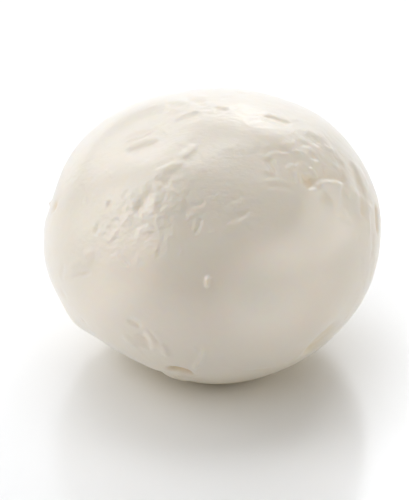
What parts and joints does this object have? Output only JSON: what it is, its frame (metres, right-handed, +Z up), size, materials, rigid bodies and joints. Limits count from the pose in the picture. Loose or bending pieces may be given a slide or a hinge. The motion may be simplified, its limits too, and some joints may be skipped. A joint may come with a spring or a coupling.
{
  "type": "mozzarella ball",
  "caption": "Ball of fresh white mozzarella, slightly flattened by its own weight, with soft folds in its moist skin and a flat spot that it rests on.",
  "frame": {"origin": "on the table, in the middle of the flat spot that the ball rests on", "axes": "+Z up; -Y towards the side with the deepest folds; +X to the right seen from that side"},
  "size_m": [0.0664, 0.066, 0.0541],
  "materials": {
    "fresh_curd": "moist milk-white curd, satin sheen, slightly translucent"
  },
  "bodies": {
    "root": {"mozzarella_ball": "fresh_curd"}
  },
  "joints": []
}
